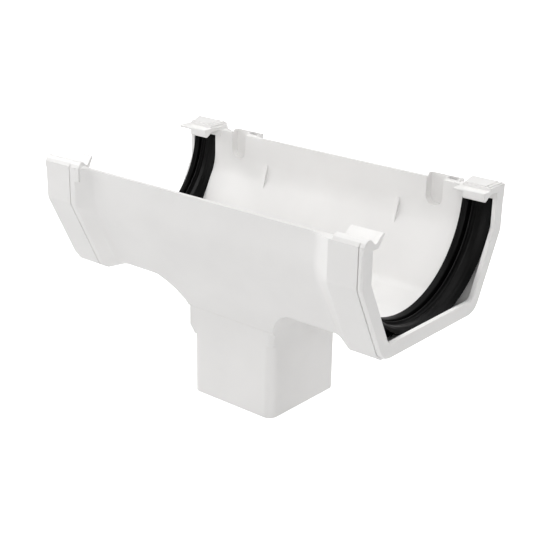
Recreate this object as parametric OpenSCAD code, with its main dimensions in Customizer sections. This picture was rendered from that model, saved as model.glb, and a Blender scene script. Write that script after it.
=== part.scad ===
// Running outlet for a half-round gutter, standing on its square spout.
// Origin: centre of the spout's bottom face. X runs along the gutter,
// -Y is the front, +Z is up. All sizes are in millimetres.

/* [Spout] */
// outside width of the square spout
spout_side = 61; // [50:0.5:70]
// wall of the square spout
spout_wall = 2.5; // [1.5:0.1:4]
// outside corner radius of the square spout
spout_corner = 5.5; // [2:0.5:12]
// how far the neck stands out at each end of the spout
neck_step = 1.9; // [0.5:0.1:4]
// from the underside of the trough down to the start of the end fillets
neck_drop = 14.7; // [10:0.1:20]
// height of the sharp-cornered left end of the neck
neck_left = 13.3; // [4:0.1:20]
// height of the sharp-cornered right end of the neck
neck_right = 2.6; // [0.8:0.1:9]
// height over which the ends of the neck draw in to the spout
neck_taper = 5.4; // [2:0.1:10]

/* [Trough] */
// height of the rim above the bottom of the spout
rim_z = 133.5; // [120:0.5:170]
// wall of the trough and of the funnel
wall = 2.6; // [1.5:0.1:4]
// from the rim down to the bend where the upright wall starts to lean in
bend_drop = 22.5; // [15:0.5:30]
// lean of the lower walls of the trough, degrees from upright
wall_lean = 28; // [20:0.5:34]
// radius of the soft bend in the trough wall
bend_r = 30; // [8:1:40]
// radius along the bottom edges of the trough
edge_r = 9; // [4:0.5:16]
// radius of the fillets at the two ends of the funnel
fillet_r = 29.4; // [24:0.2:50]
// how far above the trough's underside the fillets run out
fillet_rise = 4.5; // [3:0.1:8]
// radius between the leaning front wall and the spout
apron_r = 22; // [4:1:24]

/* [Gutter sockets] */
// overall length over both end frames
overall_length = 229; // [200:1:300]
// outside radius of the gutter on which the seals close
gutter_r = 57.2; // [52:0.1:63]
// how far the end bands stand out beside the trough
band_step = 4.2; // [2:0.1:6]
// how far the end bands reach below the trough
floor_step = 3.6; // [1.5:0.1:6]
// lean of the lower walls at the ends, degrees from upright
end_lean = 26; // [20:0.5:32]
// radius of the bend in the end bands
end_bend_r = 6; // [2:0.5:14]
// radius of the bottom corners of the end bands
end_edge_r = 6; // [3:0.5:12]
// radius of the bottom corners of the outer end faces
face_edge_r = 11; // [4:0.5:16]
// wall of the socket around the seal
socket_wall = 2.6; // [1.5:0.1:4]
// free length of the right end band inboard of the socket
band_spare = 0.8; // [0.2:0.1:3]
// free length of the left end band beyond the seam
band_left = 4.6; // [0.4:0.1:6]
// distance over which the trough swells into the end band
swell = 12.5; // [6:0.5:16]

/* [End frames] */
// thickness of the right end frame
right_plate = 2.7; // [2:0.1:5]
// thickness of the end plate of the left end frame
left_plate = 2.7; // [2:0.1:5]
// free length outside the left seal, inside the left end frame
left_spare = 1.9; // [0.2:0.1:4]
// free length outside the right seal, inside the right end frame
right_spare = 1.7; // [0.2:0.1:4]
// width of the frame face at its sides
face_side = 7.5; // [6:0.1:12]
// height of the frame face below the opening
face_low = 9.1; // [7:0.1:14]
// bottom corner radius of the opening
opening_r = 4; // [1:0.5:8]
// width of the groove along each seam
seam = 0.6; // [0.2:0.1:1]
// depth of the groove along each seam
seam_deep = 1.2; // [0.3:0.1:1.4]
// length of the rounded edge of the end frames
frame_round = 1; // [0.4:0.1:1.6]

/* [Seals] */
// from the rim down to the axis about which the seals are curved
seal_drop = 1.6; // [0.5:0.1:6]
// thickness of the seals at the inboard lip
seal_depth = 4.8; // [4.4:0.1:7]
// width of the seals along the gutter
seal_width = 15.5; // [14:0.1:20]
// free space beside each seal
seal_gap = 0.3; // [0.1:0.1:0.8]
// least thickness of the foot beside the curved part of each seal
foot_side = 1.1; // [0.4:0.1:3]
// least thickness of the foot below the curved part of each seal
foot_low = 0.9; // [0.4:0.1:3]
// how far the foot stops short of the outboard side of each seal
foot_in = 6.5; // [2:0.5:8]

/* [Clips and pockets] */
// length of the right clips
clip_length = 19.5; // [10:0.5:20]
// depth of the roots of the clips below the rim
clip_root = 4; // [3:0.5:8]
// height of the front clips above the rim
clip_rise = 3; // [1:0.1:6]
// thickness of the thin clip blades
blade = 2.2; // [1.2:0.1:3]
// reach of the front clips, from the outside of the band
front_reach = 16.7; // [16:0.1:24]
// reach of the back clips, from the outside of the band
back_reach = 21.4; // [18:0.1:28]
// height of the thin strip of the back clips above the rim
strip_rise = 2.3; // [1:0.1:5]
// height of the raised part of the back clips above the strip
back_rise = 2.2; // [1:0.1:4]
// depth of the turned-down lip of the back clips
lip_deep = 5; // [4:0.1:9]
// from the left end to the middle of the left screw pocket
pocket_left = 41; // [38:0.5:60]
// from the right end to the middle of the right screw pocket
pocket_right = 40.5; // [38:0.5:60]
// width of the screw pockets
pocket_width = 11; // [8:0.5:14]
// depth of the screw pockets below the rim
pocket_deep = 16; // [10:0.5:20]
// wall behind the screw pockets
pocket_wall = 1.8; // [1:0.1:3]
// length of the pad below the end of the left front clip
end_pad = 7.8; // [4:0.1:9]
// length of the boss behind each screw pocket
boss_length = 21; // [20:0.5:26]
// height of the bosses above the rim
boss_rise = 1.7; // [0.5:0.1:4]
// from each end to the slender stop fins
stop_in = 64.5; // [50:0.5:80]
// thickness of the stop fins
stop_thick = 2.1; // [0.8:0.1:3]
// reach of the stop fins above the bend
stop_high = 6.5; // [2:0.5:12]
// reach of the stop fins below the bend
stop_low = 10.5; // [4:0.5:16]

/* [Hidden] */
$fn = 64;
half = overall_length / 2;
spout_half = spout_side / 2;
neck_half = spout_half + neck_step;
bore_half = spout_half - spout_wall;
bore_corner = max(spout_corner - spout_wall, 0.4);
seal_outer = gutter_r + seal_depth;
seal_axis_z = rim_z - seal_drop;
end_half = seal_outer + foot_side + socket_wall;
end_floor = seal_axis_z - seal_outer - foot_low - socket_wall;
end_top = rim_z + clip_rise;
trough_half = end_half - band_step;
trough_floor = end_floor + floor_step;
bend_z = rim_z - bend_drop;
neck_top = trough_floor - neck_drop;
fillet_top = trough_floor + fillet_rise;
fillet_cx = neck_half + sqrt(fillet_r * fillet_r - pow(fillet_r - fillet_top + neck_top, 2));
fillet_cz = fillet_top - fillet_r;
opening_half = end_half - face_side;
opening_floor = end_floor + face_low;
opening_bend = bend_z + face_side * tan(end_lean / 2);
left_depth = left_plate + left_spare + seal_width + 2 * seal_gap;
right_depth = right_plate + right_spare + seal_width + 2 * seal_gap;
band_x = half - right_depth - band_spare;
seam_right = half - right_plate;
seam_left = -half + left_depth;
left_x = seam_left + band_left;
plate_left = -half + left_plate;
ledge_right = half - right_depth;
seal_left = seam_left - seal_gap;
seal_right = ledge_right + seal_gap;
clip_low = rim_z - clip_root;
clip_right = half - clip_length;
front_tip = end_half - front_reach;
back_tip = end_half - back_reach;
strip_top = rim_z + strip_rise;
lip_low = strip_top - lip_deep;
boss_top = rim_z + boss_rise;
pocket_low = rim_z - pocket_deep;
face_rise = 0.6;
big = 300;

// points of an arc
function arc(cx, cy, r, a0, a1, n) =
    [for (i = [0 : n]) [cx + r * cos(a0 + (a1 - a0) * i / n), cy + r * sin(a0 + (a1 - a0) * i / n)]];

// bend from the upright wall at w into the leaning wall
function bend_arc(w, zb, lean, rb) = arc(w - rb, zb + rb * tan(lean / 2), rb, 0, -lean, 8);

// right half of a section: upright, bend, leaning wall, bottom corner
function half_section(w, zb, lean, zf, rb, rc, top) =
    concat(
        [[w, top]],
        bend_arc(w, zb, lean, rb),
        arc(w + ((zf + rc - zb) * sin(lean) - rc) / cos(lean), zf + rc, rc, -lean, -90, 8)
    );

// a list of points turned over and run backwards
function other_side(p) = [for (i = [len(p) - 1 : -1 : 0]) [-p[i][0], p[i][1]]];

// both halves of a section
function both(p) = concat(p, other_side(p));

function section(w, zb, lean, zf, rb, rc, top) =
    both(half_section(w, zb, lean, zf, rb, rc, top));

// trough section drawn in by t from its outer face
function trough_section(t, top) =
    section(trough_half - t, bend_z + t * tan(wall_lean / 2), wall_lean, trough_floor + t,
        bend_r - t, max(edge_r - t, 1), top);

// end section drawn in by t from its outer face
function end_section(t, top) =
    section(end_half - t, bend_z + t * tan(end_lean / 2), end_lean, end_floor + t,
        max(end_bend_r - t, 1.5), max(end_edge_r - t, 1.5), top);

// outline of the outer end face, with its larger bottom corners
function face_section(t, top) =
    section(end_half - t, bend_z + t * tan(end_lean / 2), end_lean, end_floor + face_rise + t,
        end_bend_r, face_edge_r - t, top);

// opening of the end frames
function opening_section() =
    section(opening_half, opening_bend, end_lean, opening_floor, end_bend_r / 2, opening_r, rim_z + 20);

// section between the trough (f = 0) and the end band (f = 1)
function mix_section(f, top) =
    section(trough_half + f * (end_half - trough_half), bend_z, wall_lean + f * (end_lean - wall_lean),
        trough_floor + f * (end_floor - trough_floor), bend_r + f * (end_bend_r - bend_r),
        edge_r + f * (end_edge_r - edge_r), top);

// a section in Y and Z run along X from x0 to x1
module run_x(x0, x1, points) {
    translate([x0, 0, 0])
        rotate([90, 0, 90])
            linear_extrude(height = x1 - x0)
                polygon(points);
}

// a section in X and Z run along Y from y0 to y1
module run_y(y0, y1, points) {
    translate([0, y1, 0])
        rotate([90, 0, 0])
            linear_extrude(height = y1 - y0)
                polygon(points);
}

// a block from corner a to corner b
module block(a, b) {
    translate(a)
        cube(b - a);
}

// a square post with rounded corners
module post(side, r, z0, z1) {
    h = side / 2 - r;
    translate([0, 0, z0])
        linear_extrude(height = z1 - z0)
            polygon(concat(
                arc(h, h, r, 0, 90, 8),
                arc(-h, h, r, 90, 180, 8),
                arc(-h, -h, r, 180, 270, 8),
                arc(h, -h, r, 270, 360, 8)
            ));
}

// end profile of the funnel, drawn in by t: upright neck, then a fillet that
// runs out along the trough
function flare(t, nh, low) =
    concat(
        [[nh, low]],
        arc(fillet_cx, fillet_cz, fillet_r + t, 180 - flare_angle(t, nh), 90, 12),
        [[big, fillet_top + t], [big, rim_z]]
    );
// angle, from the horizontal, at which the fillet leaves the neck
function flare_angle(t, nh) = acos(min(1, (fillet_cx - nh) / (fillet_r + t)));

// front profile of the funnel: the leaning walls carried on down to the neck
function apron(t, nh, low) =
    concat(
        [[trough_half - t, rim_z]],
        bend_arc(trough_half - t, bend_z + t * tan(wall_lean / 2), wall_lean, bend_r - t),
        apron_blend(t, nh),
        [[nh, low]]
    );
// soft turn from the leaning wall to the upright neck
function apron_foot(t, nh) = bend_z + t * tan(wall_lean / 2) - (trough_half - t - nh) / tan(wall_lean);
function apron_blend(t, nh) =
    arc(nh + apron_r, apron_foot(t, nh) - apron_r * tan(wall_lean / 2), apron_r, 180 - wall_lean, 180, 6);

module funnel(t, nh, low) {
    ap = apron(t, min(nh, spout_half), low);
    fl = flare(t, nh, low);
    intersection() {
        run_x(left_x, band_x, both(ap));
        run_y(-big, big, both(fl));
    }
}

// one end of the trough swelling out into the end band at xb, s = 1 right, s = -1 left
module swelling(s, xb) {
    steps = [[1, 0], [0.68, 0.18], [0.34, 0.6], [0, 1]];
    for (i = [0 : 2])
        hull() {
            x0 = xb - s * swell * steps[i][0];
            x1 = xb - s * swell * steps[i + 1][0];
            run_x(x0 - 0.01, x0 + 0.01, mix_section(steps[i][1], rim_z));
            run_x(x1 - 0.01, x1 + 0.01, mix_section(steps[i + 1][1], rim_z));
        }
}

// outer face of an end frame with its softened edge, s = 1 right, s = -1 left
module softened_face(s) {
    hull() {
        run_x(s * (half - frame_round) - 0.01, s * (half - frame_round) + 0.01, face_section(0, rim_z));
        run_x(s * half - 0.005 - s * 0.005, s * half + 0.005 - s * 0.005,
            face_section(0.6 * frame_round, rim_z));
    }
}

// groove round the outside of an end band between x0 and x1
module seam_groove(x0, x1) {
    difference() {
        block([x0, -end_half - 1, end_floor - 1], [x1, end_half + 1, rim_z + 8]);
        run_x(x0 - 1, x1 + 1, end_section(seam_deep, rim_z + 10));
    }
}

// outer edge shared by the front clips and their plain ends
function front_edge(low) = [
    [-end_half, low], [-end_half, end_top - 5], [-end_half + 0.4, end_top - 3],
    [-end_half + 1.3, end_top - 1.3], [-end_half + 2.7, end_top - 0.3], [-end_half + 4.5, end_top],
    [-end_half + 6.1, end_top - 0.7], [-end_half + 7.9, end_top - 2.6]
];
// section of the front clips: rounded outer edge, dip and rising blade
function front_clip_points(low) = concat(front_edge(low), [
    [-end_half + 9.3, end_top - 3.4], [-front_tip - 5.9, end_top - 3.2],
    [-front_tip - 4.2, end_top - 1.6], [-front_tip - 2.4, end_top - 0.2],
    [-front_tip - 0.5, end_top + 0.7], [-front_tip, end_top + 0.3],
    [-front_tip - 0.2, end_top - 0.6],
    [-front_tip - 2.6 + 0.45 * blade, end_top + 0.2 - blade],
    [-front_tip - 4 + 0.45 * blade, end_top - 1.5 - blade],
    [-front_tip - 5.4 + 0.45 * blade, end_top - 3.4 - blade],
    [-front_tip - 6, end_top - 3.9 - blade], [-opening_half, end_top - 3.9 - blade],
    [-opening_half, low]
]);
// the same without the blade
function front_cap_points(low) =
    concat(front_edge(low), [[-opening_half, end_top - 3.3], [-opening_half, low]]);

// end of the left front clip past the seam, its blade cut off slanting, and
// the pad below its outer edge
module left_front_end() {
    intersection() {
        run_x(seam_left, seam_left + end_pad, front_clip_points(clip_low));
        translate([0, 0, clip_low - 1])
            linear_extrude(height = 20)
                polygon([
                    [seam_left, -end_half - 1], [seam_left + end_pad, -end_half - 1],
                    [seam_left + end_pad, -end_half + 1.4], [seam_left + 1.6, -front_tip + 1],
                    [seam_left, -front_tip + 1]
                ]);
    }
    block([seam_left, -end_half, rim_z - 8], [seam_left + end_pad, 0.6 - trough_half, rim_z - 2]);
}

// outer edge shared by the back clips and their plain ends
function back_edge(low) =
    [[end_half, low], [end_half, strip_top - 0.8], [end_half - 0.8, strip_top]];
// section of the back clips: thin strip with a turned-down lip
function back_clip_points(low) = concat(back_edge(low), [
    [back_tip + 0.5, strip_top], [back_tip, strip_top - 0.5],
    [back_tip, lip_low + 0.8], [back_tip + 0.6, lip_low], [back_tip + blade - 0.4, lip_low],
    [back_tip + blade + 1.4, lip_low + 1.1], [back_tip + blade + 3.2, strip_top - blade - 0.3],
    [back_tip + blade + 5.8, strip_top - blade], [opening_half, strip_top - blade],
    [opening_half, low]
]);
// the same without the lip
function back_strip_points(low) = concat(back_edge(low), [
    [back_tip + 0.5, strip_top], [back_tip, strip_top - 0.5],
    [back_tip, strip_top - 1.2], [back_tip + 0.5, strip_top - 1.7],
    [opening_half, strip_top - blade], [opening_half, low]
]);
// the same without the strip
function back_cap_points(low) =
    concat(back_edge(low), [[opening_half, strip_top], [opening_half, low]]);

// raised top of a back clip in two low steps: plan from xa (slanted end) to xb
module raised_top(xa, slant, xb) {
    inner_y = back_tip + 6.2;
    translate([0, 0, strip_top - 1])
        linear_extrude(height = back_rise + 0.2)
            polygon([[xa + slant, inner_y], [xb, inner_y], [xb, end_half], [xa, end_half]]);
    translate([0, 0, strip_top - 1])
        linear_extrude(height = back_rise + 1)
            polygon([[xa + slant + 0.6, inner_y + 0.9], [xb - 0.9, inner_y + 0.9],
                [xb - 0.9, end_half - 1], [xa + 0.9, end_half - 1]]);
}

// boss standing out behind the back wall round one screw pocket
module pocket_boss(x) {
    x0 = x - pocket_width / 2 - 0.8;
    run_x(x0, x0 + boss_length, [
        [trough_half - wall, boss_top - 1], [trough_half - wall, pocket_low - 6],
        [trough_half - 0.5, pocket_low - 6], [end_half, pocket_low + 1],
        [end_half, boss_top - 0.6], [end_half - 0.6, boss_top],
        [trough_half, boss_top], [trough_half - 0.6, rim_z], [trough_half - wall, rim_z]
    ]);
}

// recess of one screw pocket with its round foot, and the slot beside it
module pocket(x) {
    r = pocket_width / 2;
    y0 = trough_half - wall - 1;
    y1 = end_half - pocket_wall;
    block([x - r, y0, pocket_low + r], [x + r, y1, boss_top + 5]);
    translate([x, y0, pocket_low + r])
        rotate([-90, 0, 0])
            cylinder(h = y1 - y0, r = r, $fn = 48);
    block([x + r + 1.6, trough_half - 0.2, pocket_low + 7],
        [x - r - 0.8 + boss_length - 1.4, y1, boss_top + 5]);
}

// left end of the neck: sharp-cornered and full size down to z0, then drawn in
// to the rounded spout
module left_neck(z0) {
    low = z0 - neck_taper;
    intersection() {
        run_y(-spout_half, spout_half, [
            [0, neck_top], [-neck_half, neck_top], [-neck_half, z0], [1 - spout_half, low], [0, low]
        ]);
        run_x(-neck_half, 0, [
            [-spout_half, neck_top], [spout_half, neck_top], [spout_half, z0],
            [spout_half - 1, low], [1 - spout_half, low], [-spout_half, z0]
        ]);
    }
}

// right end of the neck: the end fillet carried on down until it runs into the
// spout, sharp-cornered above z0 and rounded like the spout below
module right_neck(z0) {
    intersection() {
        run_y(-spout_half, spout_half, concat(
            [[0, neck_top], [0, fillet_cz]],
            arc(fillet_cx, fillet_cz, fillet_r, 180, 180 - flare_angle(0, neck_half), 6)
        ));
        union() {
            translate([neck_step, 0, 0])
                post(spout_side, spout_corner, fillet_cz, neck_top);
            block([0, -spout_half, z0], [neck_half + 1, spout_half, neck_top]);
        }
    }
}

// slender stop fin bridging the bend of the back wall
module stop_fin(x) {
    y_in = trough_half - wall;
    y_low = y_in - stop_low * tan(wall_lean);
    run_x(x - stop_thick / 2, x + stop_thick / 2, [
        [y_in + wall / 3, bend_z + stop_high], [y_in - 0.2, bend_z + stop_high],
        [y_low + 0.2, bend_z - stop_low], [y_low + wall, bend_z - stop_low], [y_in + wall / 3, bend_z]
    ]);
}

// ribbed rubber seal, s = 1 right, s = -1 left: inboard side at x = 0, running
// outwards, its two ends tucked under the roots of the clips
module seal(s) {
    w = seal_width;
    ri = gutter_r;
    ro = seal_outer;
    short = asin((seal_axis_z - clip_low + seal_gap) / ri);
    translate([0, 0, seal_axis_z])
        rotate([0, s * 90, 0])
            rotate([0, 0, s > 0 ? short - 90 : short + 90])
                rotate_extrude(angle = 180 - 2 * short, $fn = 128)
                    polygon([
                        [ri, 0], [ri - 0.2, 0.5], [ri, 3.8], [ri + 2.2, 4.4], [ri + 2.2, 5.2],
                        [ri + 0.4, 5.8], [ri + 0.4, 7.1], [ri + 2.4, 7.8], [ri + 2.4, 8.6],
                        [ri + 1, 9.2], [ri + 1, 10.2], [ri + 2.7, 10.9], [ri + 2.8, w - 3.2],
                        [ri + 0.3, w - 0.6], [ri + 0.5, w], [ro, w], [ro, 0]
                    ]);
    // foot that fills the corners of the socket behind the curved part
    difference() {
        run_x(min(0, s * (w - foot_in)), max(0, s * (w - foot_in)),
            end_section(socket_wall, clip_low - seal_gap));
        translate([0, 0, seal_axis_z])
            rotate([0, 90, 0])
                cylinder(h = 3 * w, r = ro - 0.4, center = true, $fn = 128);
    }
}

module outlet_body() {
    color([0.93, 0.93, 0.93])
        difference() {
            union() {
                difference() {
                    union() {
                        run_x(left_x - 1, band_x - 1, trough_section(0, rim_z));
                        swelling(1, band_x);
                        swelling(-1, left_x);
                        run_x(band_x, seam_right, end_section(0, rim_z));
                        run_x(seam_left, left_x, end_section(0, rim_z));
                        funnel(0, neck_half, neck_top - 0.5);
                        left_neck(neck_top - neck_left);
                        right_neck(neck_top - neck_right);
                        post(spout_side, spout_corner, 0, neck_top + 1);
                        for (x = [-half + pocket_left, half - pocket_right])
                            pocket_boss(x);
                    }
                    run_x(-half, half, trough_section(wall, rim_z + 20));
                    funnel(wall, bore_half, neck_top - 20);
                    post(2 * bore_half, bore_corner, -1, neck_top + 1);
                    run_x(ledge_right, half, end_section(socket_wall, rim_z + 20));
                    for (x = [-half + pocket_left, half - pocket_right])
                        pocket(x);
                }
                for (x = [stop_in - half, half - stop_in])
                    stop_fin(x);
                // right clips
                run_x(clip_right, seam_right, front_clip_points(clip_low));
                run_x(clip_right, seam_right, back_strip_points(clip_low));
                run_x(clip_right + 6, seam_right, back_clip_points(clip_low));
                raised_top(clip_right - 1.5, 3.5, seam_right);
                // ends of the left clips, past the seam
                left_front_end();
                run_x(seam_left, seam_left + 4.8, back_clip_points(clip_low));
                raised_top(seam_left, 0, seam_left + 4);
            }
            seam_groove(seam_right - seam, seam_right + 1);
            seam_groove(seam_left - 1, seam_left + seam);
        }
}

module left_frame() {
    color([0.93, 0.93, 0.93])
        union() {
            difference() {
                union() {
                    run_x(plate_left, seam_left, end_section(0, rim_z));
                    run_x(-half + frame_round, plate_left, face_section(0, rim_z));
                    softened_face(-1);
                }
                run_x(plate_left, half, end_section(socket_wall, rim_z + 20));
                run_x(-half - 1, plate_left + 1,
                    opening_section());
            }
            run_x(-half, seam_left, front_cap_points(clip_low));
            run_x(-half + 5, seam_left, front_clip_points(clip_low));
            run_x(-half, seam_left, back_cap_points(clip_low));
            run_x(-half + 3, seam_left, back_strip_points(clip_low));
            run_x(seam_left - 8, seam_left, back_clip_points(clip_low));
            raised_top(-half, 7.5, seam_left);
        }
}

module right_frame() {
    color([0.93, 0.93, 0.93])
        union() {
            difference() {
                union() {
                    run_x(seam_right, half - frame_round, face_section(0, rim_z));
                    softened_face(1);
                }
                run_x(seam_right - 1, half + 1,
                    opening_section());
            }
            run_x(seam_right, half, front_clip_points(clip_low));
            run_x(seam_right, half, back_clip_points(clip_low));
            raised_top(seam_right, 0, half);
        }
}

module left_seal() {
    color([0.06, 0.06, 0.06])
        translate([seal_left, 0, 0])
            seal(-1);
}

module right_seal() {
    color([0.06, 0.06, 0.06])
        translate([seal_right, 0, 0])
            seal(1);
}

outlet_body();
left_frame();
right_frame();
left_seal();
right_seal();
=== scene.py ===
import math

import bmesh
import bpy
from mathutils import Matrix, Vector


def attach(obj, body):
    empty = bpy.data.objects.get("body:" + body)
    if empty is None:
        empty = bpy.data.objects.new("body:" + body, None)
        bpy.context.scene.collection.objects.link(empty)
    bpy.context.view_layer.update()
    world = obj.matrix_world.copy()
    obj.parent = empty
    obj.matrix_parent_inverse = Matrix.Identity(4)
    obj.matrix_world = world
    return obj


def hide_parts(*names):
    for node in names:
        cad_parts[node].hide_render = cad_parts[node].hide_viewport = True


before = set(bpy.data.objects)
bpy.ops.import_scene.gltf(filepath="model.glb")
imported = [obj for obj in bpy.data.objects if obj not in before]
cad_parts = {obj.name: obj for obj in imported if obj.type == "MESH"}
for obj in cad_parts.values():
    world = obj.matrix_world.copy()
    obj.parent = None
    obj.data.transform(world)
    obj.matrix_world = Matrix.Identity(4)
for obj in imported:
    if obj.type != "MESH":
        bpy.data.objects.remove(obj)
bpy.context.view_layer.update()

# The picture: the outlet stands on a plain white studio floor, seen from the
# front right and a little above, under large soft lights.
VIEW_FROM = Vector((0.4220, -0.5064, 0.3218))
VIEW_TURN = math.radians(39.83)
VIEW_DOWN = math.radians(20.90)
VIEW_ROLL = math.radians(0.94)
SENSOR_WIDTH = 36.0
LENS = 80.44
SHIFT_X, SHIFT_Y = 0.0084, 0.0167
VIEW_REACH = 50.0


def aim_camera(camera):
    """Turn the camera by its angle round the part, its tilt and its slight roll."""
    back = Vector((
        math.sin(VIEW_TURN) * math.cos(VIEW_DOWN),
        -math.cos(VIEW_TURN) * math.cos(VIEW_DOWN),
        math.sin(VIEW_DOWN),
    ))
    right = Vector((math.cos(VIEW_TURN), math.sin(VIEW_TURN), 0.0))
    up = back.cross(right)
    tilted_right = right * math.cos(VIEW_ROLL) + up * math.sin(VIEW_ROLL)
    tilted_up = up * math.cos(VIEW_ROLL) - right * math.sin(VIEW_ROLL)
    turn = Matrix((tilted_right, tilted_up, back)).transposed()
    camera.matrix_world = Matrix.Translation(VIEW_FROM) @ turn.to_4x4()


camera_data = bpy.data.cameras.new("camera")
camera_data.sensor_width = SENSOR_WIDTH
camera_data.lens = LENS
camera_data.shift_x = SHIFT_X
camera_data.shift_y = SHIFT_Y
camera_data.clip_end = VIEW_REACH
camera = bpy.data.objects.new("camera", camera_data)
bpy.context.collection.objects.link(camera)
aim_camera(camera)
bpy.context.scene.camera = camera


def soft_box(name, place, target, width, height, power):
    """One large rectangular studio light that faces the part."""
    data = bpy.data.lights.new(name, "AREA")
    data.shape = "RECTANGLE"
    data.size = width
    data.size_y = height
    data.energy = power
    lamp = bpy.data.objects.new(name, data)
    lamp.location = place
    facing = Vector(target) - Vector(place)
    lamp.rotation_euler = facing.to_track_quat("-Z", "Y").to_euler()
    bpy.context.collection.objects.link(lamp)


def studio_glow(tree, seen):
    """A glow as strong as B where the picture sees it, and as A where it lights the part."""
    rays = tree.nodes.new("ShaderNodeLightPath")
    glow = tree.nodes.new("ShaderNodeMix")
    glow.data_type = "FLOAT"
    glow.inputs["B"].default_value = seen
    tree.links.new(rays.outputs["Is Camera Ray"], glow.inputs["Factor"])
    return glow


# each light's place, what it faces, its width and height, and its power in watts
PART_MIDDLE = (0.0, 0.0, 0.08)
soft_box("overhead_light", (0.0, -0.1, 1.6), PART_MIDDLE, 1.8, 1.8, 9.1)
soft_box("left_side_light", (-1.6, -0.3, 0.8), PART_MIDDLE, 1.2, 1.0, 27.6)
soft_box("front_right_light", (1.0, -1.5, 0.8), PART_MIDDLE, 1.2, 1.0, 10.9)
soft_box("front_middle_light", (0.1, -1.8, 0.7), PART_MIDDLE, 1.6, 1.0, 4.2)
soft_box("right_side_light", (1.6, -0.2, 0.7), PART_MIDDLE, 1.2, 1.0, 2.1)
soft_box("back_top_light", (0.3, 1.2, 1.3), PART_MIDDLE, 1.2, 1.0, 13.2)
soft_box("back_right_light", (1.0, 1.1, 1.0), PART_MIDDLE, 1.2, 1.0, 3.5)
soft_box("near_top_light", (0.0, 0.0, 0.75), PART_MIDDLE, 0.5, 0.5, 0.95)

# the air round the studio gives next to no light but is seen white
AIR_LIGHTING = 0.004
AIR_SEEN = 1.0
world = bpy.data.worlds.new("studio")
world.use_nodes = True
studio_air = world.node_tree.nodes["Background"]
studio_air.inputs["Color"].default_value = (1.0, 1.0, 1.0, 1.0)
air_glow = studio_glow(world.node_tree, AIR_SEEN)
air_glow.inputs["A"].default_value = AIR_LIGHTING
world.node_tree.links.new(air_glow.outputs["Result"], studio_air.inputs["Strength"])
bpy.context.scene.world = world
bpy.context.scene.view_settings.view_transform = "Standard"

floor_mesh = bpy.data.meshes.new("studio_floor")
FLOOR_HALF = 12.0
# as light on the part, the floor glows beside and behind it and not in front
FLOOR_DIM_AT = -0.50
FLOOR_BRIGHT_AT = -0.20
FLOOR_FRONT_GLOW = 0.0
FLOOR_BACK_GLOW = 0.37
# the picture sees all of it pure white, as in a cut-out product picture
FLOOR_SEEN = 1.15
FLOOR_GREY = 0.5
floor_mesh.from_pydata(
    [(-FLOOR_HALF, -FLOOR_HALF, 0.0), (FLOOR_HALF, -FLOOR_HALF, 0.0),
     (FLOOR_HALF, FLOOR_HALF, 0.0), (-FLOOR_HALF, FLOOR_HALF, 0.0)],
    [], [(0, 1, 2, 3)])
floor = bpy.data.objects.new("studio_floor", floor_mesh)
bpy.context.collection.objects.link(floor)
floor_paint = bpy.data.materials.new("studio_white")
floor_paint.use_nodes = True
floor_shader = floor_paint.node_tree.nodes["Principled BSDF"]
floor_shader.inputs["Base Color"].default_value = (FLOOR_GREY, FLOOR_GREY, FLOOR_GREY, 1.0)
floor_shader.inputs["Emission Color"].default_value = (1.0, 1.0, 1.0, 1.0)
floor_shader.inputs["Roughness"].default_value = 0.9
floor_shader.inputs["Specular IOR Level"].default_value = 0.1
floor_nodes = floor_paint.node_tree.nodes
floor_links = floor_paint.node_tree.links
floor_place = floor_nodes.new("ShaderNodeTexCoord")
towards_back = floor_nodes.new("ShaderNodeVectorMath")
towards_back.operation = "DOT_PRODUCT"
towards_back.inputs[1].default_value = (-math.sin(VIEW_TURN), math.cos(VIEW_TURN), 0.0)
floor_links.new(floor_place.outputs["Object"], towards_back.inputs[0])
floor_fade = floor_nodes.new("ShaderNodeMapRange")
floor_fade.inputs["From Min"].default_value = FLOOR_DIM_AT
floor_fade.inputs["From Max"].default_value = FLOOR_BRIGHT_AT
floor_fade.inputs["To Min"].default_value = FLOOR_FRONT_GLOW
floor_fade.inputs["To Max"].default_value = FLOOR_BACK_GLOW
floor_links.new(towards_back.outputs["Value"], floor_fade.inputs["Value"])
floor_glow = studio_glow(floor_paint.node_tree, FLOOR_SEEN)
floor_links.new(floor_fade.outputs["Result"], floor_glow.inputs["A"])
floor_links.new(floor_glow.outputs["Result"], floor_shader.inputs["Emission Strength"])
floor_mesh.materials.append(floor_paint)

# Outlet body and end frames: injection-moulded white plastic, pressed from
# smooth tools, so every outside edge has a small soft radius and the walls
# show only a faint unevenness of gloss where the plastic flowed.
EDGE_RADIUS = 0.0005
# walls that meet at less than this many degrees are one curved wall
SMOOTH_BELOW = 14.0
MERGE_WITHIN = 2e-6


def cloudiness(tree, place, scale, detail):
    """Faint uneven patches, as moulded plastic and rubber have."""
    cloud = tree.nodes.new("ShaderNodeTexNoise")
    cloud.inputs["Scale"].default_value = scale
    cloud.inputs["Detail"].default_value = detail
    tree.links.new(place, cloud.inputs["Vector"])
    return cloud.outputs["Fac"]


def clouded_colour(tree, cloud, dark_at, dark, light_at, light):
    """The patches shift the colour between two near shades."""
    tint = tree.nodes.new("ShaderNodeValToRGB")
    tint.color_ramp.elements[0].position = dark_at
    tint.color_ramp.elements[0].color = dark
    tint.color_ramp.elements[1].position = light_at
    tint.color_ramp.elements[1].color = light
    tree.links.new(cloud, tint.inputs["Fac"])
    shader = tree.nodes["Principled BSDF"]
    tree.links.new(tint.outputs["Color"], shader.inputs["Base Color"])


def clouded_gloss(tree, cloud, glossiest, dullest):
    """The patches shift the roughness between two values."""
    gloss = tree.nodes.new("ShaderNodeMapRange")
    gloss.inputs["To Min"].default_value = glossiest
    gloss.inputs["To Max"].default_value = dullest
    tree.links.new(cloud, gloss.inputs["Value"])
    shader = tree.nodes["Principled BSDF"]
    tree.links.new(gloss.outputs["Result"], shader.inputs["Roughness"])


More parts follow.
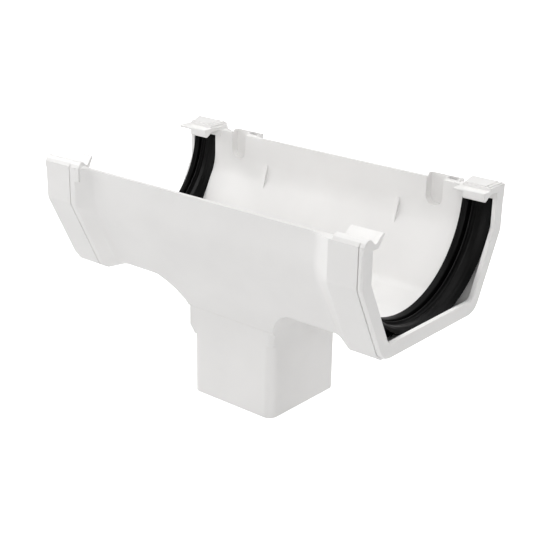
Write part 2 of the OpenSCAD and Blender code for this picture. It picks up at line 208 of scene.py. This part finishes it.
def fine_relief(tree, marks, strength, depth):
    """Flow marks or grain that can be seen only in how the surface takes the light."""
    relief = tree.nodes.new("ShaderNodeBump")
    relief.inputs["Strength"].default_value = strength
    relief.inputs["Distance"].default_value = depth
    tree.links.new(marks, relief.inputs["Height"])
    shader = tree.nodes["Principled BSDF"]
    tree.links.new(relief.outputs["Normal"], shader.inputs["Normal"])
    return relief


def white_moulded_plastic():
    """White plastic: faint cloudiness of colour and gloss, very fine flow marks."""
    material = bpy.data.materials.new("white_moulded_plastic")
    material.use_nodes = True
    tree = material.node_tree
    shader = tree.nodes["Principled BSDF"]
    shader.inputs["IOR"].default_value = 1.46
    shader.inputs["Specular IOR Level"].default_value = 0.5
    place = tree.nodes.new("ShaderNodeTexCoord").outputs["Object"]

    cloud = cloudiness(tree, place, scale=28.0, detail=3.0)
    clouded_colour(tree, cloud,
                   dark_at=0.3, dark=(0.808, 0.799, 0.789, 1.0),
                   light_at=0.7, light=(0.843, 0.834, 0.823, 1.0))
    clouded_gloss(tree, cloud, glossiest=0.30, dullest=0.42)

    stretch = tree.nodes.new("ShaderNodeMapping")
    stretch.inputs["Scale"].default_value = (0.25, 1.0, 1.0)
    tree.links.new(place, stretch.inputs["Vector"])
    flow = cloudiness(tree, stretch.outputs["Vector"], scale=260.0, detail=4.0)
    relief = fine_relief(tree, flow, strength=0.06, depth=0.0004)
    rounded = tree.nodes.new("ShaderNodeBevel")
    rounded.samples = 6
    rounded.inputs["Radius"].default_value = EDGE_RADIUS
    tree.links.new(rounded.outputs["Normal"], relief.inputs["Normal"])
    return material


def smooth_moulding(node, piece_name, material):
    """A copy of a moulding whose curved walls are shaded smooth and whose flat walls stay flat."""
    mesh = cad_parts[node].data.copy()
    mesh.name = piece_name
    shape = bmesh.new()
    shape.from_mesh(mesh)
    bmesh.ops.remove_doubles(shape, verts=shape.verts, dist=MERGE_WITHIN)
    shape.normal_update()
    soft = math.cos(math.radians(SMOOTH_BELOW))
    corner_normals = []
    for face in shape.faces:
        for loop in face.loops:
            gathered = Vector()
            for other in loop.vert.link_faces:
                if other.normal.dot(face.normal) > soft:
                    gathered += other.normal * other.calc_area()
            if gathered.length == 0:
                gathered = face.normal.copy()
            corner_normals.append(gathered.normalized())
    shape.to_mesh(mesh)
    shape.free()
    mesh.shade_smooth()
    mesh.normals_split_custom_set(corner_normals)
    mesh.materials.clear()
    mesh.materials.append(material)
    piece = bpy.data.objects.new(piece_name, mesh)
    bpy.context.collection.objects.link(piece)
    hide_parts(node)
    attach(piece, "root")


white_plastic = white_moulded_plastic()
for node, piece_name in (
        ("outlet_body", "outlet_moulding"),
        ("left_frame", "left_end_frame"),
        ("right_frame", "right_end_frame")):
    smooth_moulding(node, piece_name, white_plastic)

# Seals: ribbed black rubber, one in each socket, bent round the gutter's end.
# Left to right each has a thin lip, a deep groove, a rib and a wide sloping
# flap. A foot fills the socket's lower corners.
SEAL_AXIS_Z = 0.1319
GUTTER_RADIUS = 0.0572
SEAL_DEPTH = 0.0048
CLIP_UNDERSIDE_Z = 0.1295
SEAL_GAP = 0.0003
# the angle by which each end of the seal stops short of half a turn, under a clip
SEAL_SHORT = math.asin((SEAL_AXIS_Z - CLIP_UNDERSIDE_Z + SEAL_GAP) / GUTTER_RADIUS)
RING_STEPS = 96
MILLIMETRES = 1000.0
# faces that meet at more than this show a crisp edge
SHARP_ABOVE = math.radians(38.0)
# round the seal's section: step of the way round, share of the width from its
# left side, depth outside the gutter in millimetres, soft or sharp turn
SEAL_SECTION = (
    (0, 0.000, -0.3, "sharp"), (2, 0.030, -0.35, "soft"), (11, 0.200, 0.2, "soft"),
    (15, 0.240, 3.0, "soft"), (19, 0.290, 3.4, "soft"), (23, 0.335, 0.9, "soft"),
    (26, 0.370, 0.4, "soft"), (29, 0.405, 1.3, "soft"), (33, 0.450, 1.9, "soft"),
    (36, 0.500, 1.9, "soft"), (40, 0.560, 1.6, "soft"), (46, 0.660, 1.6, "soft"),
    (53, 0.800, 2.3, "soft"), (58, 0.920, 3.5, "soft"), (60, 1.000, 4.6, "sharp"),
    (64, 1.000, 4.8, "sharp"), (80, 0.035, 4.8, "sharp"), (88, 0.035, 1.9, "sharp"),
    (93, 0.000, 0.9, "sharp"), (96, 0.000, -0.3, "sharp"))
# past the plain solid, the right seal's thin lip and lead-in flap reach this far
LIP_REACH = 0.0006
FLAP_REACH = 0.0012
# the foot is shallower at the back corner than at the front one
FOOT_FRONT, FOOT_BACK = 0.0090, 0.0015


def bend_curve(node, points):
    """Lay the given points into a curve node: (place, value, soft or sharp)."""
    curve = node.mapping.curves[0]
    while len(curve.points) < len(points):
        curve.points.new(0.5, 0.5)
    for point, (place, value, _) in zip(curve.points, points):
        point.location = (place, value)
    for point, (_, _, turn) in zip(curve.points, points):
        point.handle_type = "VECTOR" if turn == "sharp" else "AUTO_CLAMPED"
    node.mapping.use_clip = False
    node.mapping.update()


def ribbed_seal_nodes():
    """Node group that sweeps the ribbed section round the end of the gutter."""
    group = bpy.data.node_groups.new("ribbed_seal", "GeometryNodeTree")
    for label, kind in (
            ("Gutter Radius", "NodeSocketFloat"),
            ("Seal Width", "NodeSocketFloat"),
            ("Seal Depth", "NodeSocketFloat"),
            ("Start Angle", "NodeSocketFloat"),
            ("Sweep Angle", "NodeSocketFloat"),
            ("Ring Steps", "NodeSocketInt"),
            ("Rubber", "NodeSocketMaterial")):
        group.interface.new_socket(name=label, in_out="INPUT", socket_type=kind)
    group.interface.new_socket(name="Seal", in_out="OUTPUT", socket_type="NodeSocketGeometry")
    nodes = group.nodes
    links = group.links
    given = nodes.new("NodeGroupInput")
    result = nodes.new("NodeGroupOutput")

    path = nodes.new("GeometryNodeCurveArc")
    links.new(given.outputs["Ring Steps"], path.inputs["Resolution"])
    links.new(given.outputs["Gutter Radius"], path.inputs["Radius"])
    links.new(given.outputs["Start Angle"], path.inputs["Start Angle"])
    links.new(given.outputs["Sweep Angle"], path.inputs["Sweep Angle"])

    ring = nodes.new("GeometryNodeCurvePrimitiveCircle")
    ring.inputs["Resolution"].default_value = RING_STEPS
    index = nodes.new("GeometryNodeInputIndex")
    share = nodes.new("ShaderNodeMath")
    share.operation = "DIVIDE"
    share.inputs[1].default_value = RING_STEPS
    links.new(index.outputs["Index"], share.inputs[0])
    along = nodes.new("ShaderNodeFloatCurve")
    bend_curve(along, [(step / RING_STEPS, across, "sharp")
                       for step, across, _, _ in SEAL_SECTION])
    rise = nodes.new("ShaderNodeFloatCurve")
    full_depth = SEAL_DEPTH * MILLIMETRES
    bend_curve(rise, [(step / RING_STEPS, depth / full_depth, turn)
                      for step, _, depth, turn in SEAL_SECTION])
    links.new(share.outputs["Value"], along.inputs["Value"])
    links.new(share.outputs["Value"], rise.inputs["Value"])
    wide = nodes.new("ShaderNodeMath")
    wide.operation = "MULTIPLY"
    links.new(along.outputs["Value"], wide.inputs[0])
    links.new(given.outputs["Seal Width"], wide.inputs[1])
    deep = nodes.new("ShaderNodeMath")
    deep.operation = "MULTIPLY"
    links.new(rise.outputs["Value"], deep.inputs[0])
    links.new(given.outputs["Seal Depth"], deep.inputs[1])
    spot = nodes.new("ShaderNodeCombineXYZ")
    links.new(deep.outputs["Value"], spot.inputs["X"])
    links.new(wide.outputs["Value"], spot.inputs["Y"])
    section = nodes.new("GeometryNodeSetPosition")
    links.new(ring.outputs["Curve"], section.inputs["Geometry"])
    links.new(spot.outputs["Vector"], section.inputs["Position"])

    sweep = nodes.new("GeometryNodeCurveToMesh")
    sweep.inputs["Fill Caps"].default_value = True
    links.new(path.outputs["Curve"], sweep.inputs["Curve"])
    links.new(section.outputs["Geometry"], sweep.inputs["Profile Curve"])
    solid = nodes.new("GeometryNodeRealizeInstances")
    links.new(sweep.outputs["Mesh"], solid.inputs["Geometry"])
    skin = nodes.new("GeometryNodeSetMaterial")
    links.new(solid.outputs["Geometry"], skin.inputs["Geometry"])
    links.new(given.outputs["Rubber"], skin.inputs["Material"])
    links.new(skin.outputs["Geometry"], result.inputs["Seal"])
    return group


def foot_section():
    """Outline of the foot in Y and Z: the socket outside, the curved band inside."""
    half_wide, bend_z, floor_z, top_z = 0.0631, 0.1116, 0.0690, 0.1292
    lean, corner = math.radians(26.0), 0.0034
    bend_steps, corner_steps, curve_steps = 4, 6, 64
    overlap = 0.0004
    low = floor_z + corner
    right = [(half_wide, top_z)]
    for i in range(bend_steps + 1):
        angle = -lean * i / bend_steps
        right.append((half_wide - corner + corner * math.cos(angle),
                      bend_z + corner * (math.tan(lean / 2) + math.sin(angle))))
    middle = half_wide + ((low - bend_z) * math.sin(lean) - corner) / math.cos(lean)
    for i in range(corner_steps + 1):
        angle = -lean - (math.pi / 2 - lean) * i / corner_steps
        right.append((middle + corner * math.cos(angle), low + corner * math.sin(angle)))
    outside = right + [(-y, z) for y, z in reversed(right)]
    inner = GUTTER_RADIUS + SEAL_DEPTH - overlap
    start = math.asin((SEAL_AXIS_Z - top_z) / inner)
    inside = []
    for i in range(curve_steps + 1):
        angle = -math.pi + start + (math.pi - 2 * start) * i / curve_steps
        inside.append((inner * math.cos(angle), SEAL_AXIS_Z + inner * math.sin(angle)))
    return outside + inside


def build_seal(node, side, lip_reach, flap_reach, piece_name, group, material):
    """One seal: the swept band from the node group, and its foot.

    Both are the same moulding pushed in the same way round, so the left one isn't a mirror image.
    """
    corners = [Vector(c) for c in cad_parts[node].bound_box]
    x_low = min(c.x for c in corners)
    x_high = max(c.x for c in corners)
    width = x_high - x_low
    inboard = x_low if side > 0 else x_high

    carrier = bpy.data.objects.new(piece_name + "_nodes", bpy.data.meshes.new(piece_name + "_seed"))
    bpy.context.collection.objects.link(carrier)
    recipe = carrier.modifiers.new("ribbed_seal", "NODES")
    recipe.node_group = group
    names = {item.name: item.identifier for item in group.interface.items_tree
             if item.in_out == "INPUT"}
    recipe[names["Gutter Radius"]] = GUTTER_RADIUS
    recipe[names["Seal Width"]] = lip_reach + width + flap_reach
    recipe[names["Seal Depth"]] = SEAL_DEPTH
    recipe[names["Start Angle"]] = SEAL_SHORT - math.pi
    recipe[names["Sweep Angle"]] = math.pi - 2 * SEAL_SHORT
    recipe[names["Ring Steps"]] = RING_STEPS
    recipe[names["Rubber"]] = material
    swept = carrier.evaluated_get(bpy.context.evaluated_depsgraph_get())
    mesh = bpy.data.meshes.new_from_object(swept)
    carrier.modifiers.remove(recipe)
    bpy.data.objects.remove(carrier)

    shape = bmesh.new()
    shape.from_mesh(mesh)
    for vert in shape.verts:
        y, z, x = vert.co
        vert.co = (x_low - lip_reach + abs(x), y, SEAL_AXIS_Z + z)
    outline = foot_section()
    half_wide = outline[0][0]
    rings = [[shape.verts.new((inboard, y, z)) for y, z in outline], []]
    for y, z in outline:
        share = (y + half_wide) / (2 * half_wide)
        length = FOOT_FRONT + (FOOT_BACK - FOOT_FRONT) * share
        rings[1].append(shape.verts.new((inboard + side * length, y, z)))
    count = len(outline)
    shape.faces.new(rings[0])
    shape.faces.new(rings[1])
    for i in range(count):
        j = (i + 1) % count
        shape.faces.new((rings[0][i], rings[0][j], rings[1][j], rings[1][i]))
    bmesh.ops.recalc_face_normals(shape, faces=shape.faces)
    for face in shape.faces:
        face.smooth = True
    for edge in shape.edges:
        if len(edge.link_faces) == 2 and edge.calc_face_angle(0.0) > SHARP_ABOVE:
            edge.smooth = False
    shape.to_mesh(mesh)
    shape.free()
    mesh.name = piece_name
    mesh.materials.clear()
    mesh.materials.append(material)
    piece = bpy.data.objects.new(piece_name, mesh)
    bpy.context.collection.objects.link(piece)
    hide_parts(node)
    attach(piece, "root")


def black_rubber():
    """Matt black rubber with fine grain and a faint grey bloom."""
    material = bpy.data.materials.new("black_seal_rubber")
    material.use_nodes = True
    tree = material.node_tree
    tree.nodes["Principled BSDF"].inputs["Specular IOR Level"].default_value = 0.10
    place = tree.nodes.new("ShaderNodeTexCoord").outputs["Object"]
    bloom = cloudiness(tree, place, scale=90.0, detail=4.0)
    clouded_colour(tree, bloom,
                   dark_at=0.35, dark=(0.0014, 0.0014, 0.0014, 1.0),
                   light_at=0.75, light=(0.0042, 0.0041, 0.0041, 1.0))
    clouded_gloss(tree, bloom, glossiest=0.34, dullest=0.50)
    grain = cloudiness(tree, place, scale=1400.0, detail=2.0)
    fine_relief(tree, grain, strength=0.25, depth=0.0001)
    return material


rubber = black_rubber()
seal_nodes = ribbed_seal_nodes()
build_seal("left_seal", -1, 0.0, 0.0, "left_ribbed_seal", seal_nodes, rubber)
build_seal("right_seal", 1, LIP_REACH, FLAP_REACH, "right_ribbed_seal", seal_nodes, rubber)
